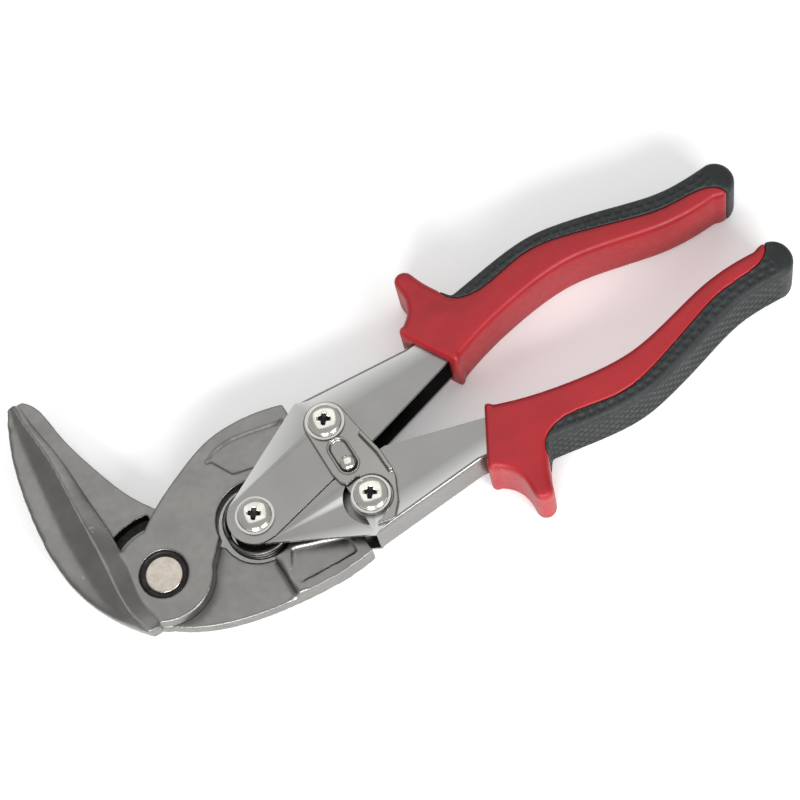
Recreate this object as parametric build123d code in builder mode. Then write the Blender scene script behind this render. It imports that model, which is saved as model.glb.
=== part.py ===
"""Aviation snips: upright offset blades, compound linkage, thumb latch and two-tone grips.

Frame (mm): X runs along the tool from the jaw pivot to the grips, Z along every pivot axis.
The tool lies flat on z = 0, jaws closed and latched; the jaw pivot is on x = y = 0.
"""
import os
from math import asin, atan2, cos, hypot, radians, sin

from build123d import *

os.makedirs("parts", exist_ok=True)

# ---------------------------------------------------------------- driving dimensions
grip_thickness = 23.0
mid_z = grip_thickness / 2

handle_pivot_x = 34.2
link_x = 69.0
link_y = 14.8
jaw_travel = 16.0
latch_travel = 46.0

shear_gap = 0.3
side_gap = 0.3
head_gap = 0.2
pin_gap = 0.05
seam_gap = 0.4

jaw_half = 5.9
arm_inner = 2.9
arm_step_x = 33.0
boss_r = 16.0
link_boss_r = 8.2
pocket_r = 13.0

plate = 1.5
channel_half = jaw_half + side_gap + plate
channel_inner = channel_half - plate
web_front_x = 63.8
web_front_y = 26.3
grip_entry_x = 104.0
grip_entry_y = 23.2
tang_end_x = 150.0
eye_r = 9.2
link_lobe_r = 6.9
lobe_slot = 2.5
fold_r = 1.4

pivot_shank_r = 5.0
pivot_head_r = 6.1
pivot_bore_r = 7.9
pivot_bore_depth = 1.5
pivot_head_t = 1.0
pivot_washer_t = 0.8
pivot_nut_flats = 15.0

link_shank_r = 3.2
head_r = 5.6
head_h = 2.5
collar_r = 6.4
collar_t = 0.8
link_washer_t = 0.6
nut_flats = 10.0
nut_t = 2.6
recess_len = 6.4
recess_w = 1.2
recess_depth = 1.3

latch_t = 1.2
latch_lift = 0.3
latch_end_r = 7.2
hook_gap = 0.5
ridge_h = 2.2
knob_r = 2.6
knob_h = 1.6

spring_mean_r = 10.6
spring_wire = 1.6
spring_pitch = 2.2
spring_turns = 3.5

pair_span = hypot(link_x, link_y)
link_span = hypot(link_x - handle_pivot_x, link_y)
jaw_angle = atan2(link_y, link_x)
link_angle = atan2(link_y, link_x - handle_pivot_x)

pivot_point = (0.0, 0.0)
handle_pivot = (handle_pivot_x, 0.0)
upper_link = (link_x, link_y)
lower_link = (link_x, -link_y)
tool_axis = Axis((0, 0, mid_z), (1, 0, 0))


def handle_turn(jaw: float) -> float:
    """Turn of one handle against its own jaw, in radians, for a jaw opening in radians."""
    half = jaw / 2
    return asin(pair_span * sin(jaw_angle + half) / link_span) - link_angle - half


# the eye turning on the far plate needs room for what a fixed gear ratio leaves over
travel = radians(jaw_travel)
ratio = handle_turn(travel) / travel
slack = 2 * link_span * abs(handle_turn(travel / 2) - ratio * travel / 2)
open_pin_gap = slack + 0.08


def level(height: float) -> Plane:
    """Horizontal plane at a height measured from the middle of the tool."""
    return Plane.XY.offset(mid_z + height)


def cross_section(y: float) -> Plane:
    """Upright plane across a blade: local x is the tool's X, local y is its Z."""
    return Plane(origin=(0, y, mid_z), x_dir=(1, 0, 0), z_dir=(0, -1, 0))


def turned(point: tuple, centre: tuple, angle: float) -> tuple:
    """A plan point turned about a centre by an angle in radians."""
    dx, dy = point[0] - centre[0], point[1] - centre[1]
    return (centre[0] + dx * cos(angle) - dy * sin(angle),
            centre[1] + dx * sin(angle) + dy * cos(angle))


def ring_sector(centre: tuple, inner: float, outer: float, start: float, end: float) -> Sketch:
    """Part of a ring between two radii and two angles in degrees."""
    a0, a1, am = radians(start), radians(end), radians((start + end) / 2)

    def at(radius: float, angle: float) -> tuple:
        return (centre[0] + radius * cos(angle), centre[1] + radius * sin(angle))

    with BuildSketch() as sector:
        with BuildLine():
            ThreePointArc(at(outer, a0), at(outer, am), at(outer, a1))
            Line(at(outer, a1), at(inner, a1))
            ThreePointArc(at(inner, a1), at(inner, am), at(inner, a0))
            Line(at(inner, a0), at(outer, a0))
        make_face()
    return sector.sketch


upper_back = [(0, 15), (8.2, 20.9), (21.4, 27.6), (33.2, 31.9), (45, 32.6), (60.5, 29.4)]
lower_back = [(-6, 15), (5.6, 21.9), (20, 26.4), (37, 29), (51.5, 29.6), (60.5, 28.6)]


def arm_outline(back: list) -> Sketch:
    """An arm in plan: pivot boss, swept back edge, link boss and the spring pocket."""
    end_x = back[-1][0]
    with BuildSketch() as outline:
        with BuildLine():
            Spline(*back)
            Polyline(back[-1], (end_x, link_y + link_boss_r - 0.8), (link_x, link_y + link_boss_r),
                     (link_x, link_y - link_boss_r), (60, 4.5), (47, 2.5), (22.5, 2.5), (13, -8),
                     (0, 0), back[0])
        make_face()
        with Locations(pivot_point):
            Circle(boss_r)
        with Locations(upper_link):
            Circle(link_boss_r)
        with Locations(handle_pivot):
            Circle(pocket_r, mode=Mode.SUBTRACT)
    return outline.sketch


def arm_tail(back: list) -> Sketch:
    """The arm behind its step, where it is thickened to sit between both handle plates."""
    with BuildSketch() as tail:
        add(arm_outline(back))
        with Locations(((arm_step_x + link_x + link_boss_r) / 2, 20)):
            Rectangle(link_x + link_boss_r - arm_step_x, 40, mode=Mode.INTERSECT)
    return tail.sketch


def arm_panel(corners: list) -> Sketch:
    """Shallow stamped field near the end of an arm."""
    with BuildSketch() as panel:
        Polygon(*corners, align=None)
        fillet(panel.vertices(), 0.9)
    return panel.sketch


upper_panel = [(30.6, 25.4), (35, 27.7), (43, 27.9), (57, 25), (57, 18), (44, 14.8), (35, 17)]
lower_panel = [(33.2, 22.8), (35.4, 25.4), (56.2, 26.4), (56.2, 20), (39, 13.8)]


# ---------------------------------------------------------------- upper jaw
# blade stations: y, cutting edge x, edge top, ridge x, ridge top, outer x, outer top
upper_stations = [
    (80.0, -13.8, 1.0, -15.0, 2.4, -17.2, 2.0),
    (73.0, -12.9, 1.3, -14.8, 3.8, -20.6, 2.8),
    (65.0, -11.7, 1.4, -14.0, 4.9, -23.6, 3.3),
    (48.0, -9.7, 1.6, -13.2, 6.8, -27.2, 4.2),
    (31.0, -8.6, 2.0, -13.8, 8.4, -28.8, 4.9),
    (14.0, -8.4, 5.6, -14.4, 9.2, -27.8, 5.4),
    (0.0, -9.8, jaw_half, -15.4, 9.6, -23.4, 6.2),
    (-8.0, -9.2, jaw_half, -15.0, 9.0, -18.8, 6.6),
    (-15.0, -9.4, jaw_half, -12.2, 7.4, -13.2, 7.0),
]
shear = shear_gap / 2

with BuildPart() as upper_jaw:
    for y, edge_x, edge_top, ridge_x, ridge_top, outer_x, outer_top in upper_stations:
        hollow_x = (ridge_x + outer_x) / 2
        hollow_top = (ridge_top + outer_top) / 2 - 0.12 * (ridge_x - outer_x)
        with BuildSketch(cross_section(y)):
            with BuildLine():
                Polyline((edge_x, shear), (edge_x, edge_top), (ridge_x, ridge_top),
                         (hollow_x, hollow_top), (outer_x, outer_top), (outer_x + 0.8, shear),
                         close=True)
            make_face()
    loft()
    with BuildSketch(level(shear)):
        add(arm_outline(upper_back))
    extrude(amount=jaw_half - shear)
    with BuildSketch(level(-arm_inner)):
        add(arm_tail(upper_back))
    extrude(amount=arm_inner + shear)
    with BuildSketch(level(jaw_half - 0.8)):
        add(arm_panel(upper_panel))
    extrude(amount=0.8, mode=Mode.SUBTRACT)
    with BuildSketch(level(jaw_half - pivot_bore_depth)):
        with Locations(pivot_point):
            Circle(pivot_bore_r)
    extrude(amount=pivot_bore_depth, mode=Mode.SUBTRACT)
    with BuildSketch(level(-jaw_half)):
        with Locations(pivot_point):
            Circle(pivot_shank_r)
        with Locations(upper_link):
            Circle(link_shank_r)
    extrude(amount=2 * jaw_half, mode=Mode.SUBTRACT)

# ---------------------------------------------------------------- lower jaw
# blade stations: y, cutting edge x, spine x, thickness at the spine, thickness at the edge
lower_stations = [
    (80.6, -15.4, -12.2, 2.4, 2.2),
    (72.0, -14.6, -7.8, 3.6, 3.2),
    (61.0, -12.8, -6.2, 4.6, 4.0),
    (48.0, -11.4, -2.8, 5.2, 4.6),
    (35.0, -10.4, 1.6, jaw_half, 5.2),
    (22.0, -10.4, 9.0, jaw_half, jaw_half),
    (8.0, -11.0, 12.0, jaw_half, jaw_half),
]

with BuildPart() as lower_jaw:
    for y, edge_x, spine_x, spine_t, edge_t in lower_stations:
        with BuildSketch(cross_section(y)):
            with BuildLine():
                Polyline((edge_x, -shear), (spine_x, -shear), (spine_x, -spine_t),
                         (edge_x + 1.2, -edge_t), close=True)
            make_face()
    loft()
    with BuildSketch(level(-jaw_half)):
        add(mirror(arm_outline(lower_back), Plane.XZ))
    extrude(amount=jaw_half - shear)
    with BuildSketch(level(-shear)):
        add(mirror(arm_tail(lower_back), Plane.XZ))
    extrude(amount=arm_inner + shear)
    with BuildSketch(level(arm_inner - 0.8)):
        add(mirror(arm_panel(lower_panel), Plane.XZ))
    extrude(amount=0.8, mode=Mode.SUBTRACT)
    with BuildSketch(level(-shear)):
        add(ring_sector(pivot_point, boss_r + 3.2, boss_r + 7.2, 78, 128))
    extrude(amount=-3.4, mode=Mode.SUBTRACT)
    with BuildSketch(level(-jaw_half)):
        with Locations(pivot_point):
            Circle(pivot_shank_r + pin_gap)
        with Locations(lower_link):
            Circle(link_shank_r)
    extrude(amount=2 * jaw_half, mode=Mode.SUBTRACT)

# ---------------------------------------------------------------- jaw pivot
with BuildPart() as jaw_pivot_bolt:
    washer_top = -jaw_half - head_gap
    with BuildSketch(level(-mid_z)):
        with Locations(pivot_point):
            Circle(pivot_shank_r)
    extrude(amount=jaw_half - pivot_bore_depth + mid_z)
    with BuildSketch(level(jaw_half - pivot_bore_depth)):
        with Locations(pivot_point):
            Circle(pivot_head_r)
    extrude(amount=pivot_head_t)
    chamfer(jaw_pivot_bolt.faces().sort_by(Axis.Z)[-1].edges(), 0.3)

with BuildPart() as jaw_pivot_washer:
    with BuildSketch(level(washer_top)):
        with Locations(pivot_point):
            Circle(pivot_bore_r + 1)
            Circle(pivot_shank_r, mode=Mode.SUBTRACT)
    extrude(amount=-pivot_washer_t)

with BuildPart() as jaw_pivot_nut:
    with BuildSketch(level(-mid_z)):
        with Locations(pivot_point):
            RegularPolygon(pivot_nut_flats / 2, 6, major_radius=False)
            Circle(pivot_shank_r, mode=Mode.SUBTRACT)
    extrude(amount=washer_top - pivot_washer_t + mid_z)
    chamfer(jaw_pivot_nut.faces().sort_by(Axis.Z)[0].outer_wire().edges(), 0.5)

# ---------------------------------------------------------------- handles
eye_edge = turned((handle_pivot_x + eye_r, 0), handle_pivot, radians(112))
near_front = [(web_front_x, web_front_y), eye_edge]
seam_end = (61.0, -3.0)
crotch = (81.0, 2.2)
channel_outline = [
    (web_front_x, web_front_y), (grip_entry_x, grip_entry_y), (tang_end_x, 29.0),
    (tang_end_x, 22.6), (121.0, 16.4), (113.0, 11.6), crotch,
    (web_front_x, seam_gap - seam_end[1]),
]
channel_hollow = [
    (web_front_x, web_front_y - plate), (grip_entry_x, grip_entry_y - plate),
    (tang_end_x, 29.0 - plate), (tang_end_x, 0), (web_front_x, 0),
]

with BuildPart() as upper_handle:
    with BuildSketch(level(-channel_half)):
        Polygon(*channel_outline, align=None)
    extrude(amount=2 * channel_half)
    outer_edges = upper_handle.edges().filter_by(
        lambda e: abs(e.tangent_at(0.5).Z) < 0.1 and e.center().Y > 24 and e.length > 30)
    fillet(outer_edges, fold_r)
    with BuildSketch(level(-channel_inner)):
        Polygon(*channel_hollow, align=None)
    extrude(amount=2 * channel_inner, mode=Mode.SUBTRACT)
    with BuildSketch(level(channel_inner)):
        Polygon((web_front_x, web_front_y), eye_edge, handle_pivot,
                (handle_pivot_x + 2, -eye_r), seam_end, crotch, (82, 20), align=None)
        with Locations(handle_pivot):
            Circle(eye_r)
        with Locations(upper_link):
            Circle(link_lobe_r)
    extrude(amount=plate)
    with BuildSketch(level(-channel_half)):
        Polygon((web_front_x, web_front_y), eye_edge, (handle_pivot_x + 2, eye_r + seam_gap),
                (seam_end[0], -seam_end[1] + seam_gap), crotch, (82, 20), align=None)
        with Locations(handle_pivot):
            Circle(eye_r + seam_gap, mode=Mode.SUBTRACT)
        add(ring_sector(upper_link, link_lobe_r, link_lobe_r + lobe_slot, 110, 262),
            mode=Mode.SUBTRACT)
    extrude(amount=plate)
    with BuildSketch(level(-channel_half)):
        with Locations(upper_link):
            Circle(link_shank_r + pin_gap)
    extrude(amount=2 * channel_half, mode=Mode.SUBTRACT)
    with BuildSketch(level(channel_inner)):
        with Locations(handle_pivot):
            Circle(link_shank_r)
    extrude(amount=plate, mode=Mode.SUBTRACT)

with BuildPart() as lower_handle:
    add(upper_handle.part.rotate(tool_axis, 180))
    with BuildSketch(level(-channel_half)):
        with Locations(handle_pivot):
            Circle(link_shank_r + open_pin_gap)
    extrude(amount=plate, mode=Mode.SUBTRACT)

# ---------------------------------------------------------------- grips
with BuildPart() as grip_body:
    with BuildSketch(level(-mid_z)):
        with BuildLine():
            Spline((126, 30.2), (143, 33), (160, 34), (171, 32), (183, 28.8), (193, 25.8),
                   (203, 23.6), (212, 23.2), (220, 23.6))
            ThreePointArc((220, 23.6), (225.4, 18.2), (215.5, 11.4))
            Spline((215.5, 11.4), (206, 11.1), (196, 12), (186, 14.2), (175, 16.9), (164, 18.7),
                   (155, 18.6), (142, 16.8), (128, 13.6), (115, 9))
            Polyline((115, 9), (104.8, 27.6), (106.4, 29))
            Spline((106.4, 29), (110.4, 32.6), (112.2, 42.6))
            ThreePointArc((112.2, 42.6), (115.6, 46.4), (119, 43.4))
            Spline((119, 43.4), (121.8, 36.6), (126, 30.2))
        make_face()
    extrude(amount=grip_thickness)
    fillet(grip_body.faces().filter_by(Axis.Z).edges(), 2.4)
    with BuildSketch(level(-channel_half)):
        Polygon(*channel_outline, align=None)
    extrude(amount=2 * channel_half, mode=Mode.SUBTRACT)


def overmould_region() -> Sketch:
    """Plan area taken by the black outer layer: the back of the grip and its rear end."""
    boundary = [(123.2, 36), (126, 28.6), (131.5, 26.6), (141, 27.2), (154, 29.3), (168, 27),
                (179, 23.5), (189, 20.2), (198, 17.8), (208, 17), (216, 15.4), (220, 6)]
    with BuildSketch(level(-mid_z)) as region:
        with BuildLine():
            Spline(*boundary)
            Polyline(boundary[-1], (230, 6), (230, 36), boundary[0])
        make_face()
    return region.sketch


with BuildPart() as upper_grip:
    add(grip_body.part)
    with BuildSketch(level(-mid_z)):
        add(overmould_region())
    extrude(amount=grip_thickness, mode=Mode.SUBTRACT)

with BuildPart() as upper_grip_overmould:
    add(grip_body.part)
    with BuildSketch(level(-mid_z)):
        add(overmould_region())
    extrude(amount=grip_thickness, mode=Mode.INTERSECT)

with BuildPart() as lower_grip:
    add(upper_grip.part.rotate(tool_axis, 180))

with BuildPart() as lower_grip_overmould:
    add(upper_grip_overmould.part.rotate(tool_axis, 180))


# ---------------------------------------------------------------- link and handle hardware
def recess_cross() -> Sketch:
    """Cross-shaped driver recess around the local origin."""
    with BuildSketch() as cross:
        Rectangle(recess_len, recess_w)
        Rectangle(recess_w, recess_len)
    return cross.sketch


def headed_bolt(centre: tuple, bottom: float, seat: float) -> Part:
    """Pan-head bolt from its far end to the seat under its head, with a cross recess."""
    with BuildPart() as bolt:
        with BuildSketch(level(bottom)):
            with Locations(centre):
                Circle(link_shank_r)
        extrude(amount=seat - bottom)
        with BuildSketch(level(seat)):
            with Locations(centre):
                Circle(head_r)
        extrude(amount=head_h)
        fillet(bolt.faces().sort_by(Axis.Z)[-1].edges(), head_h - 0.4)
        with BuildSketch(level(seat + head_h - recess_depth)):
            with Locations(Location((*centre, 0), 35)):
                add(recess_cross())
        extrude(amount=recess_depth, mode=Mode.SUBTRACT)
    return bolt.part


def ring(centre: tuple, radius: float, bottom: float, height: float) -> Part:
    """Plain washer, collar or spacer around a link bolt."""
    with BuildPart() as washer:
        with BuildSketch(level(bottom)):
            with Locations(centre):
                Circle(radius)
                Circle(link_shank_r, mode=Mode.SUBTRACT)
        extrude(amount=height)
    return washer.part


def hex_nut(centre: tuple, top: float) -> Part:
    """Hexagon nut on the far side of a link bolt."""
    with BuildPart() as nut:
        with BuildSketch(level(top)):
            with Locations(centre):
                RegularPolygon(nut_flats / 2, 6, major_radius=False)
                Circle(link_shank_r, mode=Mode.SUBTRACT)
        extrude(amount=-nut_t)
        chamfer(nut.faces().sort_by(Axis.Z)[0].outer_wire().edges(), 0.4)
    return nut.part


far_face = -channel_half - head_gap
far_nut_top = far_face - link_washer_t
bolt_end = far_nut_top - nut_t
latch_bottom = channel_half + latch_lift
latch_top = latch_bottom + latch_t
upper_seat = latch_top + head_gap
lower_seat = channel_half + head_gap

with BuildPart() as handle_pivot_bolt:
    add(headed_bolt(handle_pivot, bolt_end, channel_half + collar_t))

with BuildPart() as handle_pivot_collar:
    add(ring(handle_pivot, collar_r, channel_half, collar_t))

with BuildPart() as handle_pivot_washer:
    add(ring(handle_pivot, collar_r, far_face - link_washer_t, link_washer_t))

with BuildPart() as handle_pivot_nut:
    add(hex_nut(handle_pivot, far_nut_top))

with BuildPart() as upper_link_bolt:
    add(headed_bolt(upper_link, bolt_end, upper_seat + collar_t))

with BuildPart() as upper_link_collar:
    add(ring(upper_link, collar_r, upper_seat, collar_t))

with BuildPart() as upper_link_spacer:
    add(ring(upper_link, collar_r, -channel_inner + head_gap, channel_inner - head_gap - arm_inner))

with BuildPart() as upper_link_washer:
    add(ring(upper_link, collar_r, far_face - link_washer_t, link_washer_t))

with BuildPart() as upper_link_nut:
    add(hex_nut(upper_link, far_nut_top))

with BuildPart() as lower_link_bolt:
    add(headed_bolt(lower_link, bolt_end, upper_seat + collar_t))

with BuildPart() as lower_link_collar:
    add(ring(lower_link, collar_r, lower_seat, upper_seat + collar_t - lower_seat))

with BuildPart() as lower_link_spacer:
    add(ring(lower_link, collar_r, arm_inner, channel_inner - head_gap - arm_inner))

with BuildPart() as lower_link_washer:
    add(ring(lower_link, collar_r, far_face - link_washer_t, link_washer_t))

with BuildPart() as lower_link_nut:
    add(hex_nut(lower_link, far_nut_top))

# ---------------------------------------------------------------- latch
latch_outline = [
    (link_x - latch_end_r, link_y - 1), (link_x - latch_end_r, link_y - 16.5),
    (link_x - 6.4, link_y - 20.4), (link_x - 4.8, link_y - 22.4), (link_x, -link_y + 8),
    (link_x - 3.4, -link_y - 9.4), (link_x + 2.6, -link_y - 10.6), (link_x + 6.6, -link_y - 6),
    (link_x + 10.2, -link_y + 2), (link_x + 10, -link_y + 10.6), (link_x + 8.4, link_y - 8),
    (link_x + latch_end_r, link_y),
]
hook_r = collar_r + hook_gap

ridge_outline = [(8.2, 5.6), (10.1, -3.8), (10.3, -11.4), (8.8, -11.4), (8.6, -3.8), (6.9, 5)]


def hook_path(share: float) -> tuple:
    """Where the lower collar sits in the latch, for a share of the jaw travel."""
    jaw = travel * share
    spread = 2 * (handle_turn(jaw) + jaw / 2)
    swung = turned(lower_link, handle_pivot, -spread)
    return turned(swung, upper_link, -radians(latch_travel) * share)


with BuildPart() as latch_plate:
    with BuildSketch(level(latch_bottom)):
        Polygon(*latch_outline, align=None)
        with Locations(upper_link):
            Circle(latch_end_r)
            Circle(link_shank_r + pin_gap, mode=Mode.SUBTRACT)
        for step in range(9):
            with Locations(hook_path(step / 12)):
                Circle(hook_r, mode=Mode.SUBTRACT)
    extrude(amount=latch_t)
    with BuildSketch(level(latch_top)):
        Polygon(*[(link_x + x, y) for x, y in ridge_outline], align=None)
    extrude(amount=ridge_h)

with BuildPart() as latch_knob:
    with BuildSketch(level(latch_top)):
        with Locations((link_x - 0.8, -1.2)):
            Circle(knob_r)
    extrude(amount=knob_h)
    fillet(latch_knob.faces().sort_by(Axis.Z)[-1].edges(), knob_h - 0.2)

# ---------------------------------------------------------------- return spring
with BuildPart() as return_spring:
    spring_h = spring_pitch * spring_turns
    with BuildLine():
        coil = Helix(spring_pitch, spring_h, spring_mean_r,
                     center=(*handle_pivot, mid_z - spring_h / 2))
    with BuildSketch(Plane(origin=coil @ 0, z_dir=coil % 0)):
        Circle(spring_wire / 2)
    sweep()

# ---------------------------------------------------------------- export
parts = {
    "upper_jaw": upper_jaw, "lower_jaw": lower_jaw, "jaw_pivot_bolt": jaw_pivot_bolt,
    "jaw_pivot_washer": jaw_pivot_washer, "jaw_pivot_nut": jaw_pivot_nut,
    "upper_handle": upper_handle, "lower_handle": lower_handle, "upper_grip": upper_grip,
    "lower_grip": lower_grip, "upper_grip_overmould": upper_grip_overmould,
    "lower_grip_overmould": lower_grip_overmould, "handle_pivot_bolt": handle_pivot_bolt,
    "handle_pivot_collar": handle_pivot_collar, "handle_pivot_washer": handle_pivot_washer,
    "handle_pivot_nut": handle_pivot_nut, "upper_link_bolt": upper_link_bolt,
    "upper_link_collar": upper_link_collar, "upper_link_spacer": upper_link_spacer,
    "upper_link_washer": upper_link_washer, "upper_link_nut": upper_link_nut,
    "lower_link_bolt": lower_link_bolt, "lower_link_collar": lower_link_collar,
    "lower_link_spacer": lower_link_spacer, "lower_link_washer": lower_link_washer,
    "lower_link_nut": lower_link_nut, "latch_plate": latch_plate, "latch_knob": latch_knob,
    "return_spring": return_spring,
}
for name, built in parts.items():
    built.part.label = name
    export_step(built.part, f"parts/{name}.step")

print(f"handle ratio {ratio:.5f}, latch ratio {latch_travel / jaw_travel:.5f}, slack {slack:.3f}")
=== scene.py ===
"""Aviation snips: the visible forging, pressing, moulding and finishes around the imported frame.

Metres throughout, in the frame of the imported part: X runs from the jaw pivot to the grips,
Z along every pivot, and the tool lies flat on z = 0.
"""
import logging
import math
from dataclasses import dataclass, field
from enum import Enum
from functools import cache
from typing import Callable

import bmesh
import bpy
from mathutils import Euler, Matrix, Vector
from mathutils.kdtree import KDTree


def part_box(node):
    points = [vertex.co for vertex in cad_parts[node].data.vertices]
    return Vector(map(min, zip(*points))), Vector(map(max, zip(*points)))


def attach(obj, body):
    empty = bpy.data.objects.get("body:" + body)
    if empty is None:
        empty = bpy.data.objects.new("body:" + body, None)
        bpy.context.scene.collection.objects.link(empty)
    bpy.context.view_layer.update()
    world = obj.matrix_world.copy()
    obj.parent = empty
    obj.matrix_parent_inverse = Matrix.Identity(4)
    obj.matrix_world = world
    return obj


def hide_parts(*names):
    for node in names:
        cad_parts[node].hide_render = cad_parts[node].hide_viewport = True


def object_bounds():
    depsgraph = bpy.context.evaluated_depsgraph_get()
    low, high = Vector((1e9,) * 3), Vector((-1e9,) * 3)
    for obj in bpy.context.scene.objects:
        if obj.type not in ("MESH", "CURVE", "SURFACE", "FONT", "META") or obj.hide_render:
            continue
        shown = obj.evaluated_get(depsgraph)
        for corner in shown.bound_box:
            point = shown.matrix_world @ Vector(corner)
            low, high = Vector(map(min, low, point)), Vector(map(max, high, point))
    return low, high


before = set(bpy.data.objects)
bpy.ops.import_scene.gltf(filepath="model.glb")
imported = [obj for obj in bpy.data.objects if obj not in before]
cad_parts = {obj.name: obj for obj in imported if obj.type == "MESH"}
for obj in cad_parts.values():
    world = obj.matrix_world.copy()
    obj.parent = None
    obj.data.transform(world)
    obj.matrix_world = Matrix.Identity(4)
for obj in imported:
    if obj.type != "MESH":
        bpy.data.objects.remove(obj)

CAD_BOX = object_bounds()
MM = 0.001
MERGE = 1e-6
log = logging.getLogger("snips")

Plan = tuple[float, float]
Span = tuple[float, float]
Relief = tuple[float, float]
Triple = tuple[float, float, float]
Colour = Triple
FULL: Span = (0.0, 1.0)


class Side(Enum):
    """Which half of the tool a repeated piece belongs to."""

    UPPER = "upper"
    LOWER = "lower"


# Places measured from the frame
@cache
def node_box(node: str) -> tuple[Vector, Vector]:
    """Lowest and highest corner of a CAD node, in metres."""
    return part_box(node)


@cache
def middle_height() -> float:
    """Height of the plane that both jaws and both handles share."""
    low, high = node_box("upper_grip")
    return (low.z + high.z) / 2


def axis_of(node: str) -> Vector:
    """Plan centre of a round node, at z = 0."""
    low, high = node_box(node)
    return Vector(((low.x + high.x) / 2, (low.y + high.y) / 2, 0))


# Shaping tools
def ease(start: float, end: float, value: float) -> float:
    """Smooth step from 0 at start to 1 at end.

    Args:
        start: Value where the step begins.
        end: Value where it is complete; it may be below start.
        value: Value to place on the step.

    Returns:
        A share from 0 to 1.
    """
    share = min(1.0, max(0.0, (value - start) / (end - start)))
    return share * share * (3 - 2 * share)


def bump_profile(centre: float, half: float, soft: float, value: float) -> float:
    """A flat-topped bump around centre that fades out over soft on both sides."""
    return 1 - ease(half, half + soft, abs(value - centre))


def within(value: float, span: Span) -> bool:
    """Whether a value lies between the ends of a span."""
    return span[0] < value < span[1]


class Track:
    """A smooth plan curve through a few points, in millimetres, with nearest-point look-up."""

    def __init__(self, points: list[Plan], step: float = 0.25) -> None:
        """Sample the curve.

        Args:
            points: Points that the curve passes through.
            step: Spacing of the samples, in millimetres.
        """
        self.samples: list[Vector] = []
        ends = [points[0], *points, points[-1]]
        for before, start, end, after in zip(ends, ends[1:], ends[2:], ends[3:]):
            count = max(2, int(math.dist(start, end) / step))
            for index in range(count):
                self.samples.append(self._blend(before, start, end, after, index / count))
        self.samples.append(Vector((*points[-1], 0)))
        self.lengths = [0.0]
        for one, two in zip(self.samples, self.samples[1:]):
            self.lengths.append(self.lengths[-1] + (two - one).length)
        self.tree = KDTree(len(self.samples))
        for index, sample in enumerate(self.samples):
            self.tree.insert(sample, index)
        self.tree.balance()

    @staticmethod
    def _blend(a: Plan, b: Plan, c: Plan, d: Plan, t: float) -> Vector:
        """Find a Catmull-Rom point.

        Args:
            a: Point before the stretch.
            b: Start of the stretch.
            c: End of the stretch.
            d: Point after it.
            t: Share of the way from b to c.

        Returns:
            The point, at z = 0.
        """
        weights = (-t + 2 * t * t - t ** 3, 2 - 5 * t * t + 3 * t ** 3,
                   t + 4 * t * t - 3 * t ** 3, t ** 3 - t * t)
        return Vector((sum(w * p[0] for w, p in zip(weights, (a, b, c, d))) / 2,
                       sum(w * p[1] for w, p in zip(weights, (a, b, c, d))) / 2, 0))

    def locate(self, co: Vector) -> Triple:
        """Measure a point against the curve.

        Args:
            co: Point in metres.

        Returns:
            Distance from the curve and length along it, in millimetres, and the side: 1 on
            the left, -1 on the right.
        """
        point = Vector((co.x / MM, co.y / MM, 0))
        near, index, distance = self.tree.find(point)
        ahead = self.samples[min(index + 1, len(self.samples) - 1)]
        behind = self.samples[max(index - 1, 0)]
        run = ahead - behind
        offset = point - near
        side = 1.0 if run.x * offset.y - run.y * offset.x > 0 else -1.0
        return distance, self.lengths[index], side


class Clay:
    """A dense closed working mesh that is pressed, drawn and smoothed into its finished form."""

    def __init__(self, node: str, voxel: float, frame_turn: Matrix | None = None) -> None:
        """Take the shape of a CAD node.

        Args:
            node: CAD node to copy.
            voxel: Grid size of the working mesh, in metres.
            frame_turn: Turn from the part's frame into a working frame, or None.
        """
        self.turn = frame_turn or Matrix.Identity(4)
        source = bmesh.new()
        source.from_mesh(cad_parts[node].data)
        bmesh.ops.remove_doubles(source, verts=source.verts, dist=MERGE)
        bmesh.ops.transform(source, matrix=self.turn, verts=source.verts)
        self.bm = remeshed(source, voxel)

    def smooth(self, rounds: int, where: Callable[[Vector], bool] | None = None) -> None:
        """Relax the surface.

        Args:
            rounds: Number of smoothing passes.
            where: Test that picks the vertices, or None for all.
        """
        chosen = [v for v in self.bm.verts if where is None or where(v.co)]
        for _ in range(rounds):
            bmesh.ops.smooth_vert(self.bm, verts=chosen, factor=0.5, use_axis_x=True,
                                  use_axis_y=True, use_axis_z=True)
        self.bm.normal_update()

    def draw(self, move: Callable[[Vector, Vector], Vector | None]) -> None:
        """Move the vertices by a rule.

        Args:
            move: Gives a vertex's move for its place and normal, or None to leave it.
        """
        self.bm.normal_update()
        moves = [(v, move(v.co, v.normal)) for v in self.bm.verts]
        for vertex, shift in moves:
            if shift is not None:
                vertex.co += shift

    def finish(self, name: str) -> bpy.types.Object:
        """Turn the working mesh back into the part's frame as a smooth-shaded object."""
        bmesh.ops.transform(self.bm, matrix=self.turn.inverted(), verts=self.bm.verts)
        return as_object(name, self.bm)


def remeshed(bm: bmesh.types.BMesh, voxel: float) -> bmesh.types.BMesh:
    """Rebuild a closed mesh as an even grid of quads; the given mesh is freed.

    Args:
        bm: Closed mesh.
        voxel: Grid size, in metres.

    Returns:
        A new bmesh.
    """
    source = bpy.data.meshes.new("working")
    bm.to_mesh(source)
    bm.free()
    holder = bpy.data.objects.new("working", source)
    bpy.context.scene.collection.objects.link(holder)
    modifier = holder.modifiers.new("grid", "REMESH")
    modifier.mode = "VOXEL"
    modifier.voxel_size = voxel
    graph = bpy.context.evaluated_depsgraph_get()
    result = bmesh.new()
    result.from_mesh(holder.evaluated_get(graph).to_mesh())
    bpy.data.objects.remove(holder)
    bpy.data.meshes.remove(source)
    return result


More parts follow.
